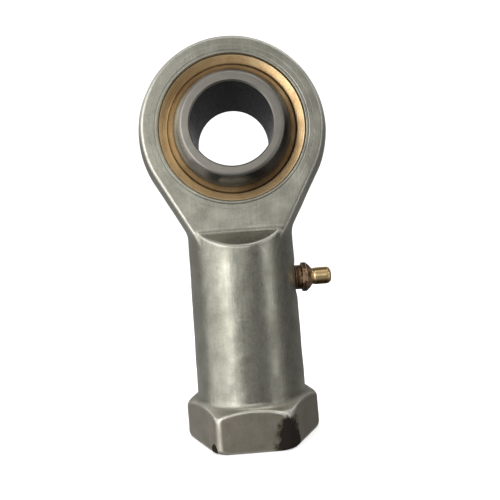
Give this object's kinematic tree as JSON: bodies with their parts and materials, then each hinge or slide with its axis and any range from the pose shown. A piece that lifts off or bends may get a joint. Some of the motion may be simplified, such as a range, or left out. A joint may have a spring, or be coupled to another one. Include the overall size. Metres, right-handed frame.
{
  "type": "rod end bearing",
  "caption": "Rod end with a bored spherical ball in a bronze race, a forged eye and round shank, an internally threaded hex foot and a side grease nipple.",
  "frame": {"origin": "centre of the hex foot's end face, at the mouth of the threaded socket", "axes": "+Z along the shank from the hex foot to the eye, +Y along the axis of the eye, +X towards the grease nipple"},
  "size_m": [0.048, 0.03, 0.101],
  "materials": {
    "forged_steel": "satin, slightly mottled",
    "race_bronze": "machined, satin",
    "ball_steel": "ground ball, turned end faces",
    "nipple_brass": "turned, slightly tarnished",
    "check_ball_steel": "polished",
    "spring_steel": "drawn wire"
  },
  "bodies": {
    "housing": {"housing": "forged_steel", "race_front": "race_bronze", "race_rear": "race_bronze", "nipple_body": "nipple_brass", "nipple_spring": "spring_steel"},
    "ball": {"inner_ring": "ball_steel"},
    "check_ball": {"nipple_check_ball": "check_ball_steel"}
  },
  "joints": [
    {"name": "ball_tilt", "type": "hinge", "parent": "housing", "child": "ball", "pos_m": [0, 0, 0.077], "axis": [0, 0, 1], "range_deg": [-14, 14]},
    {"name": "check_ball_lift", "type": "slide", "parent": "housing", "child": "check_ball", "axis": [-1, 0, 0], "range_m": [0, 0.001], "stiffness_N_per_m": 300, "springref_m": -0.0015, "deforming": ["nipple_spring"]}
  ]
}
